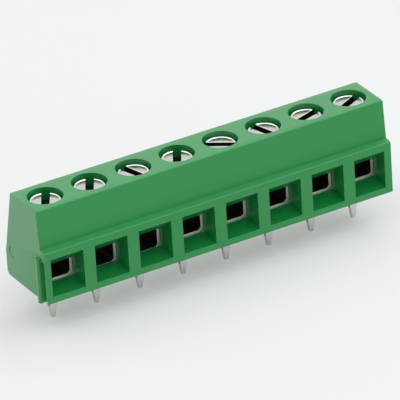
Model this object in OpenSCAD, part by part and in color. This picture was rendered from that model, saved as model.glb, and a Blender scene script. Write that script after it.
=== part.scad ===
// Printed-circuit-board screw terminal with rising clamp sleeves.
// Millimetres. X runs along the row, the wires enter towards +Y, and Z points up from the board.
// The origin is on the board, in the middle of the row of solder pins.

/* [Row] */
// Number of poles
poles = 8; // [2:1:12]
// Distance from pole to pole
pitch = 5.08; // [5:0.01:7.62]

/* [Housing] */
// Depth over the front frame and the foot of the back
depth = 8.3; // [7.8:0.05:9.5]
// Height above the board
height = 10; // [9.7:0.05:12]
// Height of the front frame
frame_h = 5.7; // [5.5:0.02:6]
// Depth of the ledge on top of the front frame
ledge_d = 0.85; // [0.4:0.05:1]
// Rise of the ledge from its front edge to the front slope
ledge_rise = 0.15; // [0:0.05:0.3]
// Distance that the front slope leans back, from the ledge to the top
front_lean = 0.35; // [0:0.05:0.5]
// Distance that the back leans forward, from its foot to the top
back_lean = 1.9; // [0.8:0.05:2.1]
// Height of the upright foot of the back
back_foot_h = 2.67; // [1:0.01:4]
// Radius on the long edges of the housing
edge_r = 0.14; // [0.05:0.01:0.3]
// Chamfer along the lower edge of the back
heel_chamfer = 0.32; // [0.1:0.02:0.6]

/* [Wire entries] */
// Width of an entry at the front
mouth_w = 3.75; // [3.6:0.05:4]
// Height of an entry at the front
mouth_h = 4.2; // [3.6:0.05:4.3]
// Height of the sill under an entry
sill_h = 0.7; // [0.5:0.05:0.9]
// Width of the throat where the funnel ends
throat_w = 3.4; // [3:0.05:3.5]
// Wall left between the last entry and the grooved end
last_wall = 0.82; // [0.7:0.02:0.95]

/* [Screws] */
// Distance of the screw axes behind the front
screw_from_front = 3.75; // [3.6:0.05:4]
// Diameter of the screwdriver bores
bore_d = 3.7; // [3.6:0.02:4.2]
// Diameter of the screw heads
head_d = 3.5; // [3:0.02:3.56]
// Height of the screw heads
head_h = 1.8; // [1.2:0.05:2.2]
// Depth of the screw heads below the top
head_sink = 0.5; // [0.2:0.05:0.9]
// Chamfer round the top of the heads
head_chamfer = 0.18; // [0.05:0.01:0.3]
// Width of the slot
slot_w = 0.8; // [0.5:0.05:1]
// Depth of the slot
slot_d = 0.9; // [0.5:0.05:1.1]
// Nominal diameter of the thread
thread_d = 2.5; // [2:0.1:2.6]
// Chamfer at the tip of the screws
tip_chamfer = 0.35; // [0.1:0.05:0.6]

/* [Clamp sleeves] */
// Thickness of the strip that a sleeve is folded from
sheet = 0.3; // [0.25:0.01:0.35]
// Outer width of a sleeve
cage_w = 3.36; // [3.26:0.02:3.5]
// Length of a sleeve in the direction of the wire
cage_l = 3; // [2.8:0.05:3.3]
// Outer radius of the folds
fold_r = 0.75; // [0.55:0.05:0.8]
// Room for the wire under the current bar when a clamp is open
wire_room = 2; // [1.7:0.05:2.2]
// Room left under the current bar when a clamp is shut
shut_room = 0.15; // [0.12:0.01:0.3]
// Height of a part-raised sleeve above its lowest place
part_rise = 0.27; // [0:0.01:0.6]

/* [Contacts] */
// Thickness of the contact strip
strip_t = 0.45; // [0.35:0.01:0.5]
// Width of the current bar
bar_w = 2.1; // [1.8:0.05:2.15]
// Width that the leg has more than the chamber, on each side
leg_tab = 0.15; // [0.1:0.01:0.2]
// Width of the foot under a sleeve
foot_w = 2; // [1.2:0.05:3]
// Height of the foot above the board
foot_lift = 0.35; // [0.3:0.01:0.4]
// Inner radius of the bends
bend_r = 0.3; // [0.2:0.02:0.3]
// Distance of the solder pins behind the front
pin_from_front = 4.05; // [3.8:0.05:4.2]
// Width of a solder pin
pin_w = 0.85; // [0.6:0.05:1.2]
// Width of a solder pin at its tip
tip_w = 0.4; // [0.2:0.05:0.5]
// Length of the taper
taper_l = 1.4; // [0.5:0.1:2]
// Length of the solder pins below the board plane
pin_l = 3.9; // [2.5:0.1:4.5]

/* [End rib and groove] */
// Distance that the rib stands out from the left end
rib_out = 0.5; // [0.3:0.02:0.5]
// Width of the rib at its head
rib_w = 0.72; // [0.6:0.02:1]
// Width that the rib loses at its root, on each side
rib_undercut = 0.12; // [0.05:0.01:0.15]
// Distance of the rib's head behind the front
rib_from_front = 0.6; // [0.4:0.02:0.7]
// Height of the rib
rib_h = 5; // [4:0.05:5.1]
// Radius on the rib's head
rib_r = 0.22; // [0.1:0.02:0.3]
// Depth of the channel between the rib and the front frame
channel_d = 0.25; // [0.15:0.01:0.3]
// Height of the web that closes the channel at the top
channel_web = 0.35; // [0.2:0.05:0.6]
// Depth of the wedge-shaped field behind the rib, where it meets the rib
field_sink = 0.12; // [0.05:0.01:0.15]
// Length of the wedge-shaped field towards the back
field_d = 1.6; // [1:0.1:2]
// Diameter of the ejector mark on the left end
mark_d = 1.4; // [1:0.1:1.8]
// Depth of the ejector mark
mark_sink = 0.05; // [0.03:0.01:0.1]
// Height of the ejector mark above the board
mark_h = 3; // [2:0.1:4]

/* [Clearances] */
// Gap beside a sleeve in its chamber
side_gap = 0.15; // [0.1:0.01:0.2]
// Gap in front of a sleeve
front_gap = 0.1; // [0.05:0.01:0.15]
// Gap between a sleeve and the leg behind it
back_gap = 0.25; // [0.15:0.01:0.3]
// Gap between a lowered sleeve and the foot under it
drop_gap = 0.1; // [0.05:0.01:0.15]
// Gap between a lowered sleeve's top and the current bar
bar_gap = 0.15; // [0.12:0.01:0.2]
// Gap above a raised sleeve
rise_gap = 0.15; // [0.1:0.01:0.3]
// Radial gap of a screw in its sleeve
thread_gap = 0.03; // [0.02:0.01:0.05]
// Radial gap of a screw's shank in the housing
shank_gap = 0.05; // [0.03:0.01:0.08]
// Gap under a screw's head and under its tip
turn_gap = 0.03; // [0.02:0.01:0.05]
// Gap round the rib of the next block in the groove
slide_gap = 0.05; // [0.03:0.01:0.08]

/* [Hidden] */
$fn = 64;
eps = 0.01;
corner_steps = 6;
row_l = poles * pitch;
end_x = row_l / 2;

// Depths, front to back
front_y = -pin_from_front;
back_y = front_y + depth;
screw_y = front_y + screw_from_front;
cage_y0 = screw_y - cage_l / 2;
cage_y1 = screw_y + cage_l / 2;
throat_y = cage_y0 - front_gap;
bar_y0 = cage_y0 + front_gap;
leg_y0 = cage_y1 + back_gap;
leg_y1 = leg_y0 + strip_t;
bend_y = leg_y0 - bend_r;
pin_y0 = -strip_t / 2;
pin_y1 = strip_t / 2;

// Levels, bottom to top
foot_z1 = foot_lift + strip_t;
cage_z0 = foot_z1 + drop_gap;
floor_z = cage_z0 + sheet;
bar_z0 = floor_z + wire_room;
bar_z1 = bar_z0 + strip_t;
cage_z1 = bar_z1 + bar_gap + 2 * sheet;
cage_h = cage_z1 - cage_z0;
cage_travel = wire_room - shut_room;
chamber_z1 = cage_z1 + cage_travel + rise_gap;
head_z1 = height - head_sink;
seat_z = head_z1 - head_h - turn_gap;
ledge_z1 = frame_h + ledge_rise;
throat_z0 = floor_z + turn_gap;
throat_z1 = bar_z0 - turn_gap;

// Widths
chamber_w = cage_w + 2 * side_gap;
leg_w = chamber_w + 2 * leg_tab;
rib_y0 = front_y + rib_from_front;
rib_y1 = rib_y0 + rib_w;

// Colours
moulding_green = [0.22, 0.58, 0.33];
plated_steel = [0.8, 0.79, 0.76];
tinned_copper = [0.82, 0.82, 0.8];

// Directions in which the slots were left, one for each screw in turn
slot_turns = [60, 60, -75, 60, -36, -75, 19, 28];
// Sleeves left at their lowest place, counted from the left; the others are part-raised
lowest_cages = [2, 3];

// The points of an arc of radius r that rounds the corner b between its neighbours a and c
function corner(a, b, c, r) =
    let (
        u = (a - b) / norm(a - b),
        v = (c - b) / norm(c - b),
        half = acos(u * v) / 2,
        middle = b + (u + v) / norm(u + v) * r / sin(half),
        first = b + u * r / tan(half) - middle,
        side = sign(u[0] * v[1] - u[1] * v[0]),
        sweep = side * (180 - 2 * half)
    )
    [for (k = [0:corner_steps])
        let (w = -sweep * k / corner_steps)
        middle + [
            first[0] * cos(w) - first[1] * sin(w),
            first[0] * sin(w) + first[1] * cos(w)
        ]];

// A closed outline whose corners are rounded with the radii given, where 0 leaves a corner sharp
function rounded(points, radii) =
    [for (i = [0:len(points) - 1])
        let (
            n = len(points),
            a = points[(i + n - 1) % n],
            b = points[i],
            c = points[(i + 1) % n]
        )
        each (radii[i] > 0 ? corner(a, b, c, radii[i]) : [b])];

// Places its children at pole i, counted from the left
module at_pole(i) {
    translate([(i - (poles + 1) / 2) * pitch, 0, 0]) children();
}

// Extrudes a section drawn in Y and Z along X, centred on X = 0
module along_x(length) {
    translate([-length / 2, 0, 0])
        rotate([90, 0, 90])
            linear_extrude(length) children();
}

// Extrudes a section drawn in X and Z along Y
module along_y(y0, y1) {
    translate([0, y1, 0])
        rotate([90, 0, 0])
            linear_extrude(y1 - y0) children();
}

// A rectangle with rounded corners, from its lower middle point
module soft_rect(w, h, r) {
    translate([-w / 2 + r, 0]) square([w - 2 * r, h]);
    translate([-w / 2, r]) square([w, h - 2 * r]);
    for (x = [-w / 2 + r, w / 2 - r], z = [r, h - r])
        translate([x, z]) circle(r);
}

// A quarter of a bent strip round the point c, turned by the given quarter turns
module bend(c, quarter) {
    translate(c)
        rotate(90 * quarter)
            intersection() {
                difference() {
                    circle(bend_r + strip_t);
                    circle(bend_r);
                }
                square(bend_r + strip_t + eps);
            }
}

// Side view of the moulding: front frame, ledge, front slope, flat top and leaning back
module housing_profile() {
    polygon(rounded(
        [
            [front_y, 0],
            [front_y, frame_h],
            [front_y + ledge_d, ledge_z1],
            [front_y + ledge_d + front_lean, height],
            [back_y - back_lean, height],
            [back_y, back_foot_h],
            [back_y, heel_chamfer],
            [back_y - heel_chamfer, 0]
        ],
        [0, edge_r, 0, edge_r, edge_r, edge_r, 0, 0]
    ));
}

// The funnel that guides a wire under the bar: its floor rises, its ceiling falls, its sides close in
module funnel() {
    intersection() {
        along_x(mouth_w) polygon([
            [front_y - eps, sill_h],
            [throat_y + eps, throat_z0],
            [throat_y + eps, throat_z1],
            [front_y - eps, sill_h + mouth_h]
        ]);
        linear_extrude(height) polygon([
            [-mouth_w / 2, front_y - eps],
            [mouth_w / 2, front_y - eps],
            [throat_w / 2, throat_y + eps],
            [-throat_w / 2, throat_y + eps]
        ]);
    }
}

// The chamber that a sleeve rises in, with the grooves for the leg's edges, open at the underside
module chamber() {
    translate([-chamber_w / 2, throat_y, -eps])
        cube([chamber_w, leg_y1 - throat_y, chamber_z1 + eps]);
    translate([-leg_w / 2, leg_y0, -eps])
        cube([leg_w, strip_t, bar_z0 - bend_r + eps]);
}

// The bore that a screw turns in: a wide part for the head and a narrow one for the shank
module screw_bore() {
    translate([0, screw_y, seat_z])
        cylinder(d = bore_d, h = height - seat_z + eps);
    translate([0, screw_y, chamber_z1 - eps])
        cylinder(d = thread_d + 2 * shank_gap, h = seat_z - chamber_z1 + 2 * eps);
}

// Plan of the interlocking rib, with its head at -X and its root at x = 0, grown by a gap
module rib_plan(gap) {
    polygon(rounded(
        [
            [eps + gap, rib_y0 + rib_undercut - gap],
            [-rib_out - gap, rib_y0 - gap],
            [-rib_out - gap, rib_y1 + gap],
            [eps + gap, rib_y1 - rib_undercut + gap]
        ],
        [0, rib_r, rib_r, 0]
    ));
}

// Channel between the rib and the front frame, narrower at its floor and closed by a web at the top
module rib_channel() {
    lip = rib_undercut;
    linear_extrude(rib_h - channel_web) polygon([
        [-eps, front_y + lip],
        [channel_d, front_y + 2 * lip],
        [channel_d, rib_y0 + rib_undercut],
        [-eps, rib_y0 + rib_undercut]
    ]);
}

// Field that sinks towards the rib's root, whose upper edge falls towards the back
module sunk_field() {
    y0 = rib_y1 - rib_undercut;
    y1 = y0 + field_d;
    fall = field_d / 5;
    intersection() {
        along_x(2 * field_sink + 4 * eps)
            polygon([[y0, -eps], [y1, -eps], [y1, rib_h + edge_r - fall], [y0, rib_h + edge_r]]);
        linear_extrude(height) polygon([
            [-eps, y0],
            [field_sink, y0],
            [-eps, y1 + eps * field_d / field_sink]
        ]);
    }
}

// One moulding carries every pole: funnels, chambers, bores, the rib and its groove
module housing() {
    color(moulding_green) {
        difference() {
            along_x(row_l) housing_profile();
            for (i = [1:poles]) at_pole(i) {
                funnel_in_row(i);
                chamber();
                screw_bore();
            }
            translate([-end_x, 0, -eps]) rib_channel();
            translate([-end_x, 0, 0]) sunk_field();
            translate([-end_x - eps, back_y - mark_d, mark_h])
                rotate([0, 90, 0])
                    cylinder(d = mark_d, h = mark_sink + eps);
            translate([end_x, 0, -eps])
                linear_extrude(rib_h + slide_gap + eps) rib_plan(slide_gap);
        }
        translate([-end_x, 0, 0])
            linear_extrude(rib_h) rib_plan(0);
    }
}

// A funnel, which is narrower beside the grooved end so that a wall is left there
module funnel_in_row(i) {
    if (i == poles)
        intersection() {
            funnel();
            translate([-pitch / 2, front_y - eps, 0])
                cube([pitch - last_wall, depth, height]);
        }
    else
        funnel();
}

// Clamp screw, turned from steel: slotted head with a chamfer, shank and chamfered tip
module screw(i) {
    tip_z = bar_z1 + turn_gap;
    under_z = head_z1 - head_h;
    at_pole(i) translate([0, screw_y, 0])
        color(plated_steel) difference() {
            rotate_extrude() polygon([
                [0, tip_z],
                [thread_d / 2 - tip_chamfer, tip_z],
                [thread_d / 2, tip_z + tip_chamfer],
                [thread_d / 2, under_z],
                [head_d / 2, under_z],
                [head_d / 2, head_z1 - head_chamfer],
                [head_d / 2 - head_chamfer, head_z1],
                [0, head_z1]
            ]);
            rotate(slot_turns[(i - 1) % len(slot_turns)])
                translate([-head_d, -slot_w / 2, head_z1 - slot_d])
                    cube([2 * head_d, slot_w, slot_d + eps]);
        }
}

// Section of a folded sleeve: the strip's ends overlap on top, the inner end free beside the fold
module cage_section() {
    seam = turn_gap;
    inner_r = fold_r - sheet;
    difference() {
        union() {
            soft_rect(cage_w, cage_h - sheet, fold_r);
            intersection() {
                soft_rect(cage_w, cage_h, fold_r);
                square([cage_w, cage_h]);
            }
            translate([-cage_w / 2, cage_h - sheet])
                square([cage_w / 2 + eps, sheet]);
        }
        translate([0, sheet])
            soft_rect(cage_w - 2 * sheet, cage_h - 3 * sheet, inner_r);
        intersection() {
            translate([0, sheet])
                soft_rect(cage_w - 2 * sheet, cage_h - 2 * sheet, inner_r);
            translate([cage_w / 2 - fold_r, cage_h / 2])
                square([fold_r, cage_h / 2]);
        }
        translate([-cage_w / 2 - eps, cage_h - sheet - seam])
            square([cage_w - fold_r + eps, seam]);
    }
}

// Rising clamp sleeve with the tapped hole through its doubled top
module cage(i) {
    at_pole(i)
        translate([0, 0, len(search(i, lowest_cages)) > 0 ? 0 : part_rise])
            color(plated_steel) difference() {
                translate([0, 0, cage_z0])
                    along_y(cage_y0, cage_y1) cage_section();
                translate([0, screw_y, floor_z + sheet])
                    cylinder(d = thread_d + 2 * thread_gap, h = cage_h);
            }
}

// Bent contact: current bar inside the sleeve, leg in the chamber's grooves, foot and solder pin
module contact(i) {
    low_z = foot_z1 + bend_r;
    high_z = bar_z0 - bend_r;
    pin_bend_y = pin_y1 + bend_r;
    pin_bend_z = foot_lift - bend_r;
    at_pole(i) color(tinned_copper) {
        along_x(bar_w) {
            translate([bar_y0, bar_z0]) square([bend_y - bar_y0, strip_t]);
            bend([bend_y, high_z], 0);
        }
        along_x(leg_w)
            translate([leg_y0, low_z]) square([strip_t, high_z - low_z]);
        along_x(foot_w) {
            bend([bend_y, low_z], 3);
            translate([pin_bend_y, foot_lift]) square([bend_y - pin_bend_y, strip_t]);
        }
        along_x(pin_w) bend([pin_bend_y, pin_bend_z], 1);
        along_y(pin_y0, pin_y1) polygon([
            [-pin_w / 2, pin_bend_z],
            [pin_w / 2, pin_bend_z],
            [pin_w / 2, taper_l - pin_l],
            [tip_w / 2, -pin_l],
            [-tip_w / 2, -pin_l],
            [-pin_w / 2, taper_l - pin_l]
        ]);
    }
}

housing();
for (i = [1:poles]) {
    screw(i);
    cage(i);
    contact(i);
}
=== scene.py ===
"""Printed-circuit-board screw terminal with rising clamp sleeves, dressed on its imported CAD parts."""

import bmesh
import bpy
import numpy as np
from mathutils import Matrix, Vector


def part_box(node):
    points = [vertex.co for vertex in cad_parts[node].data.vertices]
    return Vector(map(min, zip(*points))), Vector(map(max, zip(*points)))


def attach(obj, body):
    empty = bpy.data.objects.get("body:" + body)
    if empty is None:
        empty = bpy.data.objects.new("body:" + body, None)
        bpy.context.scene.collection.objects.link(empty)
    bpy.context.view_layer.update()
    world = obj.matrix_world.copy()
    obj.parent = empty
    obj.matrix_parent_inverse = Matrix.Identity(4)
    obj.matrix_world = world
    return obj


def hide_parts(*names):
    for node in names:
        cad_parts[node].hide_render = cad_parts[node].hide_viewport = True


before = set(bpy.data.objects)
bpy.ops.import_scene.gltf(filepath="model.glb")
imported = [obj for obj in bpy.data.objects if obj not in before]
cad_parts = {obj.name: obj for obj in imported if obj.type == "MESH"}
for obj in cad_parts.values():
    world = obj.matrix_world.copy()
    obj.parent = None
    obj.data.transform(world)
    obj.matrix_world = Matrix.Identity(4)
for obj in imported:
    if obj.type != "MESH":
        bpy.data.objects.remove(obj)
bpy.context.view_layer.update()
MM = 0.001


# ---------------------------------------------------------------------------
# Camera. A long lens looks down at the row from its left front, a little tilted.

target = Vector((-0.05, 0, 3.73)) * MM
azimuth, elevation, roll = np.radians((-28.7, 27.9, 3.7))
distance = 645 * MM
toward = Vector((
    np.sin(azimuth) * np.cos(elevation),
    -np.cos(azimuth) * np.cos(elevation),
    np.sin(elevation),
))
right = Vector((0, 0, 1)).cross(toward).normalized()
level_up = toward.cross(right)
up = level_up * np.cos(roll) + right * np.sin(roll)
right = up.cross(toward)
camera_data = bpy.data.cameras.new("camera")
camera_data.lens = 572
camera_data.sensor_width = 36
camera_data.clip_end = 10
camera = bpy.data.objects.new("camera", camera_data)
camera.matrix_world = Matrix((
    (right.x, up.x, toward.x, target.x + toward.x * distance),
    (right.y, up.y, toward.y, target.y + toward.y * distance),
    (right.z, up.z, toward.z, target.z + toward.z * distance),
    (0, 0, 0, 1),
))
bpy.context.scene.collection.objects.link(camera)
bpy.context.scene.camera = camera


# ---------------------------------------------------------------------------
# Housing. One green polyamide moulding: satin walls with the faint ripple of the
# mould, edges softened by the tool's small radii, and a fine grain.


class Signal:
    """One output of a material's nodes. Arithmetic on it adds Math nodes, also with plain numbers on the left."""

    def __init__(self, tree, socket):
        self.tree, self.socket = tree, socket

    def node(self, kind, settings, inputs, output=0):
        """Adds a node: its settings are made first, then each socket gets its value or its link."""
        new = self.tree.nodes.new("ShaderNode" + kind)
        for name, value in settings.items():
            if name == "stops":
                ramp = new.color_ramp.elements
                while len(ramp) < len(value):
                    ramp.new(1)
                for stop, (place, shade) in zip(ramp, value):
                    stop.position, stop.color = place, shade
            else:
                setattr(new, name, value)
        for name, value in inputs.items():
            if isinstance(value, Signal):
                self.tree.links.new(value.socket, new.inputs[name])
            else:
                new.inputs[name].default_value = value
        return Signal(self.tree, new.outputs[output])

    def math(self, operation, *values):
        return self.node("Math", {"operation": operation}, dict(enumerate(values)))

    def __add__(self, other):
        return self.math("ADD", self, other)

    def __radd__(self, other):
        return self.math("ADD", other, self)

    def __sub__(self, other):
        return self.math("SUBTRACT", self, other)

    def __rsub__(self, other):
        return self.math("SUBTRACT", other, self)

    def __mul__(self, other):
        return self.math("MULTIPLY", self, other)

    def __rmul__(self, other):
        return self.math("MULTIPLY", other, self)

    def __truediv__(self, other):
        return self.math("DIVIDE", self, other)

    def axis(self, which):
        """One coordinate of this place, in millimetres: 0 along the row, 1 to the back, 2 up."""
        return self.node("SeparateXYZ", {}, {"Vector": self}, output=which) / MM

    def from_pole(self):
        """How far this place lies to the right of the axis of its own pole, in millimetres."""
        along = self.axis(0) / 5.08
        return (along - along.math("FLOOR", along) - 0.5) * 5.08

    def between(self, low, high):
        """0 below low, 1 above high, and a straight ramp from one to the other."""
        return self.node("MapRange", {"clamp": True}, {"Value": self, "From Min": low, "From Max": high})

    def noise(self, size, detail=2.0, roughness=0.5):
        """Noise of 0 to 1 over this place, with lumps of about the size given in millimetres."""
        return self.node(
            "TexNoise", {}, {"Vector": self, "Scale": 1 / (size * MM), "Detail": detail, "Roughness": roughness}
        )


def finish(name, metallic=0.0, ior=1.5):
    """A new material, its Principled shader, and the place on the piece as a Signal."""
    material = bpy.data.materials.new(name)
    material.use_nodes = True
    tree = material.node_tree
    shader = tree.nodes["Principled BSDF"]
    shader.inputs["Metallic"].default_value = metallic
    shader.inputs["IOR"].default_value = ior
    place = tree.nodes.new("ShaderNodeTexCoord")
    return material, shader, Signal(tree, place.outputs["Object"])


def feed(shader, **links):
    """Links signals to the shader's sockets, named with underscores for spaces."""
    for name, signal in links.items():
        signal.tree.links.new(signal.socket, shader.inputs[name.replace("_", " ")])


def tinted(place, dark, light, amount):
    """A colour that goes from dark to light, plain or signals themselves, as amount goes from 0 to 1."""
    ends = [end if isinstance(end, Signal) else (*end, 1) for end in (dark, light)]
    return place.node("Mix", {"data_type": "RGBA"}, {0: amount, 6: ends[0], 7: ends[1]}, output=2)


def bumped(place, height, depth):
    """A normal that tilts as if the surface rose by depth millimetres where height goes from 0 to 1."""
    return place.node("Bump", {}, {"Strength": 1.0, "Distance": depth * MM, "Height": height})


def dressed_copy(node, softened, share=None, steps=2):
    """The CAD node's surface with its triangles merged into whole faces and its sharp edges rolled over.

    A roll is softened millimetres wide, times the share, from 0 to 1, that share gives for the edge's middle.
    """
    mesh = bpy.data.meshes.new(node + "_dressed")
    work = bmesh.new()
    work.from_mesh(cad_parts[node].data)
    bmesh.ops.remove_doubles(work, verts=work.verts, dist=1e-6)
    bmesh.ops.dissolve_limit(
        work, angle_limit=np.radians(0.6), verts=work.verts, edges=work.edges
    )
    for face in work.faces:
        face.smooth = True
    weight = work.edges.layers.float.new("bevel_weight_edge")
    for edge in work.edges:
        edge.smooth = edge.calc_face_angle(3.2) < np.radians(28)
        if not edge.smooth:
            middle = (edge.verts[0].co + edge.verts[1].co) / 2
            edge[weight] = share(middle / MM) if share else 1
    work.to_mesh(mesh)
    work.free()
    piece = bpy.data.objects.new(node + "_dressed", mesh)
    bpy.context.scene.collection.objects.link(piece)
    roll_over = piece.modifiers.new("rolled_edges", "BEVEL")
    roll_over.width = softened * MM
    roll_over.segments = steps
    roll_over.limit_method = "WEIGHT"
    roll_over.harden_normals = True
    return piece


polyamide, shader, place = finish("green_polyamide", ior=1.53)
shader.inputs["Sheen Weight"].default_value = 1.0
shader.inputs["Sheen Roughness"].default_value = 0.36
ripple = place.noise(3.2, detail=1)
grain = place.noise(0.09, detail=3, roughness=0.6)
cloud = place.noise(9, detail=3)
feed(
    shader,
    Base_Color=tinted(place, (0.007, 0.25, 0.05), (0.011, 0.285, 0.062), cloud * 0.7 + grain * 0.3),
    Roughness=0.36 + 0.1 * place.noise(1.4, detail=4) + 0.06 * grain,
    Normal=bumped(place, ripple * 0.7 + grain * 0.3, 0.012),
)
# the polished pins that core the bores, funnels and chambers leave them glossier than the grained outside; their darker
# green is painted shade for these hollows
shaded_cored_polyamide, shader, place = finish("green_polyamide_cored_shaded", ior=1.53)
cloud = place.noise(1.2, detail=3)
feed(
    shader,
    Base_Color=tinted(place, (0.006, 0.20, 0.042), (0.008, 0.24, 0.052), cloud),
    Roughness=0.26 + 0.1 * cloud,
    Normal=bumped(place, place.noise(1.6, detail=1), 0.01),
)
SCREW_Y = -0.30
housing = dressed_copy("housing", softened=0.07)
housing.data.materials.append(polyamide)
housing.data.materials.append(shaded_cored_polyamide)
# faces inside the bores, funnels and chambers take the darker green, painted shade for the hollows
for face in housing.data.polygons:
    x, y, z = face.center / MM
    x = (x / 5.08) % 1 * 5.08 - 2.54
    if abs(x) < 1.99 and 0.01 < z < 9.99 and (-4.0 < y < 2.2 if z < 6.6 else np.hypot(x, y - SCREW_Y) < 1.9):
        face.material_index = 1
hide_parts("housing")
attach(housing, "block")


# ---------------------------------------------------------------------------
# Clamp screws. Turned steel, plated bright: a flat slotted head with a small
# chamfer, and a rolled M2.5 thread of 0.45 mm pitch that runs to the pointed tip.

head = dict(top=9.5, radius=1.75, height=1.8, chamfer=0.18, dish=0.05, lip=0.14)
slot = dict(width=0.8, depth=0.9, lip=0.05, foot=0.08)
thread = dict(radius=1.25, pitch=0.45, depth=0.27, tip_z=3.68)
slot_turns = (60, 60, -75, 60, -36, -75, 19, 28)


def grid_piece(name, grids, material):
    """One mesh from grids of points (rows, columns, 3) in millimetres, with shared edges merged and slivers removed."""
    mesh = bpy.data.meshes.new(name)
    points, faces, start = [], [], 0
    for grid in grids:
        rows, columns = grid.shape[:2]
        points.append(grid.reshape(-1, 3) * MM)
        first = (np.arange(rows - 1)[:, None] * columns + np.arange(columns - 1)).ravel() + start
        faces.append(np.stack((first, first + columns, first + columns + 1, first + 1), axis=1))
        start += rows * columns
    mesh.from_pydata(np.concatenate(points).tolist(), [], np.concatenate(faces).tolist())
    work = bmesh.new()
    work.from_mesh(mesh)
    bmesh.ops.remove_doubles(work, verts=work.verts, dist=2e-7)
    bmesh.ops.dissolve_degenerate(work, edges=work.edges, dist=1e-8)
    bmesh.ops.recalc_face_normals(work, faces=work.faces)
    for face in work.faces:
        face.smooth = True
    for edge in work.edges:
        edge.smooth = edge.calc_face_angle(3.2) < np.radians(32)
    work.to_mesh(mesh)
    work.free()
    mesh.materials.append(material)
    piece = bpy.data.objects.new(name, mesh)
    bpy.context.scene.collection.objects.link(piece)
    return piece


def slotted_head():
    """The head as a profile across the slot, carried along chords of the disc.

    Across the slot the profile runs flat to the slot's rolled lip, down the wall, round the foot fillet
    and over the floor, and back up. Each profile point is drawn out along its chord of the flat top, then over
    the chamfer, down the side, and in under the head to its middle, so the grid closes on itself. The flat
    is sunk a little inside the edge, as turned heads are.
    """
    half, floor = slot["width"] / 2, head["top"] - slot["depth"]
    flat = head["radius"] - head["chamfer"]
    lip, foot = slot["lip"], slot["foot"]
    quarter = np.linspace(0, np.pi / 2, 5)
    lobe = half + lip + (flat - half - lip) * np.sin(np.linspace(np.pi / 2, 0, 12))
    across = np.concatenate((
        lobe[:-1],
        half + lip - lip * np.sin(quarter),
        half - 0.015 - foot + foot * np.cos(quarter),
    ))
    level = np.concatenate((
        np.full(11, head["top"]),
        head["top"] - lip + lip * np.cos(quarter),
        floor + foot - foot * np.sin(quarter),
    ))
    s = np.concatenate((across, -across[::-1]))
    z = np.concatenate((level, level[::-1]))
    t = np.sin(np.linspace(-np.pi / 2, np.pi / 2, 25))
    chord = np.sqrt(np.maximum(flat**2 - s**2, 0))
    middle = np.stack((np.broadcast_to(s[:, None], (s.size, t.size)),
                       chord[:, None] * t,
                       np.broadcast_to(z[:, None], (s.size, t.size))), axis=2)
    inward = np.clip((flat - 0.01 - np.hypot(middle[..., 0], middle[..., 1])) / head["lip"], 0, 1)
    near_top = np.clip((middle[..., 2] - head["top"] + 0.3) / 0.2, 0, 1)
    middle[..., 2] -= head["dish"] * inward**2 * (3 - 2 * inward) * near_top
    stretch = np.where(
        np.abs(s) > half,
        np.sign(s) * (half + (np.abs(s) - half) * (head["radius"] - half) / (flat - half)),
        s,
    )
    reach = np.sqrt(np.maximum(head["radius"]**2 - stretch**2, 0))
    low = head["top"] - head["height"]

    def ring(scale, height):
        return np.stack((stretch * scale, reach * scale, height), axis=1)[:, None, :]

    rim = ring(1, np.minimum(z, head["top"] - head["chamfer"]))
    skirt = np.concatenate(
        (rim, ring(1, np.full(s.size, low + 0.05)), ring(0.972, np.full(s.size, low)),
         ring(0, np.full(s.size, low))), axis=1)
    back = skirt[:, ::-1] * (1, -1, 1)
    return np.concatenate((back, middle, skirt), axis=1)


def threaded_shank():
    """The shank as a tube round the axis: its radius falls from the crest by the thread's depth along a
    rounded V that climbs one pitch in each turn, and fades out under the head and towards the tip."""
    turn = np.linspace(0, 2 * np.pi, 41)
    z = np.arange(thread["tip_z"], head["top"] - head["height"] + 0.1, thread["pitch"] / 8)
    theta, height = np.meshgrid(turn, z)
    phase = height / thread["pitch"] - theta / (2 * np.pi)
    vee = 1 - np.abs(2 * (phase - np.floor(phase)) - 1)
    groove = np.clip(1.25 * vee - 0.12, 0, 1)
    fade = np.clip((z[-1] - 0.35 - height) / 0.3, 0, 1)
    radius = thread["radius"] - thread["depth"] * groove * fade
    point = thread["radius"] - 0.35 + (height - thread["tip_z"])
    radius = np.minimum(radius, point)
    wall = np.stack((radius * np.cos(theta), radius * np.sin(theta), height), axis=2)
    ends = wall[[0, -1]] * (0, 0, 1)
    return np.concatenate((ends[:1], wall, ends[1:]), axis=0)


def pole_x(i):
    return (i - 4.5) * 5.08


def moved(points, x, y, turn=0):
    """Points turned about Z by turn degrees, then moved to x, y."""
    a = np.radians(turn)
    spin = np.array(((np.cos(a), np.sin(a), 0), (-np.sin(a), np.cos(a), 0), (0, 0, 1)))
    return points @ spin + (x, y, 0)


turned_steel, shader, place = finish("plated_turned_steel", metallic=1.0)
beside, behind = place.from_pole(), place.axis(1) - SCREW_Y
radius = (beside * beside + behind * behind).math("SQRT", beside * beside + behind * behind)
rings = (radius * 70).math("SINE", radius * 70)
scuff = place.noise(0.35, detail=4, roughness=0.65)
plating = tinted(place, (0.70, 0.69, 0.66), (0.88, 0.87, 0.84), scuff)
# painted shade: the slot and the thread below the flat of the head are coloured nearly black and rougher, and only the
# flat keeps the bright plating
outside_painted_slot_shade = place.axis(2).between(head["top"] - 0.12, head["top"] - 0.03)
feed(
    shader,
    Base_Color=tinted(place, (0.035, 0.034, 0.030), plating, outside_painted_slot_shade),
    Roughness=0.42 + (0.08 * scuff - 0.38) * outside_painted_slot_shade,
    Normal=bumped(place, rings * 0.35 + scuff, 0.002),
)
head_grid = slotted_head()
shank_grid = threaded_shank()
for i, turn in enumerate(slot_turns, start=1):
    # the slot runs along the chords, so the grid's Y is turned to the slot's direction
    grids = [moved(g, pole_x(i), SCREW_Y, turn - 90) for g in (head_grid, shank_grid)]
    screw = grid_piece(f"clamp_screw_{i}", grids, turned_steel)
    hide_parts(f"screw_{i}")
    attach(screw, f"screw_{i}")


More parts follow.
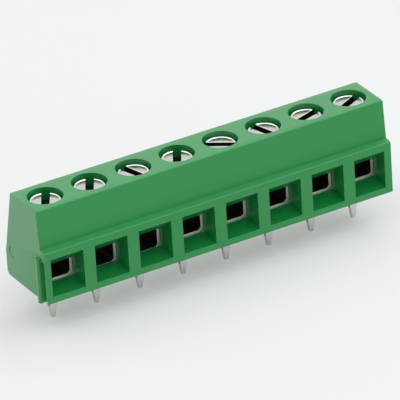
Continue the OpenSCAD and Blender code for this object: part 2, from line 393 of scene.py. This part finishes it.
# ---------------------------------------------------------------------------
# Clamp sleeves. Each is bent from one plated steel strip, whose ends lap over
# each other at the top and take the thread; the sheared edges are a little rolled.

strip_steel, shader, place = finish("plated_strip_steel", metallic=1.0)
streak = place.node("Mapping", {}, {0: place, "Scale": (1, 0.12, 1)}).noise(0.12, detail=3)
dull = place.noise(1.1, detail=4)
to_back = place.axis(1)
# painted shade: between its two open ends the sleeve is coloured dark brown-grey for the shade inside the chamber, and
# only the end faces keep the bright plating
bright_open_ends = 1 - to_back.between(-1.799, -1.79) + to_back.between(1.19, 1.199)
feed(
    shader,
    Base_Color=tinted(
        place,
        tinted(place, (0.11, 0.085, 0.08), (0.24, 0.21, 0.20), dull),
        (0.86, 0.85, 0.80),
        bright_open_ends,
    ),
    Roughness=0.3 + 0.2 * dull,
    Normal=bumped(place, streak, 0.003),
)


def rim_roll(middle):
    """The full roll along the inner edges of a sleeve's two open ends, where wires and the bar slide in, and a
    third of it elsewhere. How far out an edge lies is its distance from the rectangle between the fold centres."""
    x = (middle.x / 5.08) % 1 * 5.08 - 2.54
    z = middle.z - (low_z + high_z) / 2
    over_x, over_z = abs(x) - (1.68 - fold_radius), abs(z) - ((high_z - low_z) / 2 - fold_radius)
    out = np.hypot(max(over_x, 0), max(over_z, 0))
    at_end = min(abs(middle.y + 1.8), abs(middle.y - 1.2)) < 0.02
    return 1 if at_end and out < fold_radius - 0.05 else 0.3


fold_radius = 0.75
for i in range(1, 9):
    low_z, high_z = (corner[2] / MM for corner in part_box(f"cage_{i}"))
    sleeve = dressed_copy(f"cage_{i}", softened=0.12, share=rim_roll)
    sleeve.data.materials.append(strip_steel)
    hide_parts(f"cage_{i}")
    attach(sleeve, f"cage_{i}")


# ---------------------------------------------------------------------------
# Contacts. Current bar, leg, foot and solder pin are one strip of brass, stamped,
# bent and tinned, so the faces are satin; the pins' dark grey sides and the dark tin inside the block are painted shade
# in part or whole.

tinned, shader, place = finish("satin_tin", metallic=1.0)
mottle = place.noise(0.5, detail=5, roughness=0.6)
drawn = place.node("Mapping", {}, {0: place, "Scale": (1, 1, 0.08)}).noise(0.08, detail=2)
tin = tinted(place, (0.72, 0.71, 0.70), (0.88, 0.87, 0.86), mottle)
# painted shade: inside the block the tin is coloured dark grey-brown, and only the pins below it keep the bright tin
pins_outside_painted_shade = 1 - place.axis(2).between(-0.05, 0.25)
# the cut sides of the pins are coloured dark grey: partly the duller bare cut edge, partly painted shade for the
# shadowed floor they reflect
cut_side_shade = place.from_pole().math("ABSOLUTE", place.from_pole()).between(0.37, 0.42)
feed(
    shader,
    Base_Color=tinted(place, (0.11, 0.10, 0.09), tinted(place, tin, (0.3, 0.3, 0.3), cut_side_shade), pins_outside_painted_shade),
    Roughness=0.34 + 0.12 * pins_outside_painted_shade + 0.12 * mottle,
    Normal=bumped(place, drawn * 0.6 + mottle * 0.4, 0.003),
)
for i in range(1, 9):
    contact = dressed_copy(f"contact_{i}", softened=0.045)
    contact.data.materials.append(tinned)
    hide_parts(f"contact_{i}")
    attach(contact, "block")


# ---------------------------------------------------------------------------
# Floor, surroundings and lamps. The block stands on the tips of its pins on a
# pale table in a light studio, lit by lamp panels all round it at three heights and a small one overhead.

floor_z = -3.9 * MM
floor_mesh = bpy.data.meshes.new("table_top")
reach = 3.0
floor_mesh.from_pydata(
    [(-reach, -reach, floor_z), (reach, -reach, floor_z), (reach, reach, floor_z), (-reach, reach, floor_z)],
    [], [(0, 1, 2, 3)])
table_top = bpy.data.objects.new("table_top", floor_mesh)
bpy.context.scene.collection.objects.link(table_top)
table_paper, shader, place = finish("pale_table")
shader.inputs["Base Color"].default_value = (0.875, 0.875, 0.88, 1)
shader.inputs["Roughness"].default_value = 0.9
shader.inputs["Specular IOR Level"].default_value = 0.1
# for camera rays the paper is three tenths an even glow, so its shadows stay pale
lit_paper = place.node("Emission", {}, {"Color": (0.93, 0.945, 0.95, 1), "Strength": 1.0})
seen = Signal(place.tree, place.tree.nodes.new("ShaderNodeLightPath").outputs["Is Camera Ray"])
paper = place.node("MixShader", {}, {0: seen * 0.3, 1: Signal(place.tree, shader.outputs[0]), 2: lit_paper})
place.tree.links.new(paper.socket, place.tree.nodes["Material Output"].inputs["Surface"])
floor_mesh.materials.append(table_paper)

world = bpy.data.worlds.new("studio")
world.use_nodes = True
bpy.context.scene.world = world
tree = world.node_tree
tree.nodes.clear()
rays = Signal(tree, tree.nodes.new("ShaderNodeLightPath").outputs["Is Camera Ray"])
glossy = Signal(tree, rays.socket.node.outputs["Is Glossy Ray"])
clear = Signal(tree, rays.socket.node.outputs["Is Transmission Ray"])
seen = (rays + glossy + clear).math("MINIMUM", rays + glossy + clear, 1)
around = rays.node("Background", {}, {"Color": (0.97, 0.985, 1, 1), "Strength": 0.26})
backdrop = rays.node("Background", {}, {"Color": (0.97, 0.98, 0.985, 1), "Strength": 1.0})
mixed = rays.node("MixShader", {}, {0: seen, 1: around, 2: backdrop})
out = tree.nodes.new("ShaderNodeOutputWorld")
tree.links.new(mixed.socket, out.inputs["Surface"])


def panel(name, azimuth, elevation, width, height, strength, distance=0.8):
    """A lamp panel that faces the block. Azimuth runs from straight ahead towards the right, and strength is
    the panel's brightness, where a white floor under an even sky of strength 1 is white."""
    data = bpy.data.lights.new(name, "AREA")
    data.shape = "RECTANGLE"
    data.size, data.size_y = width, height
    data.energy = strength * np.pi * width * height
    new = bpy.data.objects.new(name, data)
    turn, rise = np.radians((azimuth, elevation))
    new.location = Vector((
        np.sin(turn) * np.cos(rise),
        -np.cos(turn) * np.cos(rise),
        np.sin(rise),
    )) * distance
    new.rotation_euler = (-new.location).to_track_quat("-Z", "Y").to_euler()
    bpy.context.scene.collection.objects.link(new)


panel("front_high", 0, 58, 0.848, 0.36, 1.65)
panel("front_right", 45, 32, 0.562, 0.36, 1.15)
panel("right_mid", 90, 32, 0.562, 0.36, 0.74)
panel("right_high", 90, 58, 0.848, 0.36, 1.66)
panel("back_high", 180, 58, 0.848, 0.36, 0.74)
panel("left_high", -90, 58, 0.848, 0.36, 1.1)
panel("back_left_mid", -135, 32, 0.562, 0.36, 0.6)
panel("left_mid", -90, 32, 0.562, 0.36, 0.44)
panel("back_right_low", 135, 9, 0.655, 0.22, 1.2)
panel("back_low", 180, 9, 0.655, 0.22, 0.46)
panel("back_left_low", -135, 9, 0.655, 0.22, 0.37)
panel("left_low", -90, 9, 0.655, 0.22, 0.31)
panel("front_mid", 0, 32, 0.562, 0.36, 0.36)
panel("overhead", 180, 84, 0.35, 0.35, 0.53)

bpy.context.scene.view_settings.view_transform = "Standard"
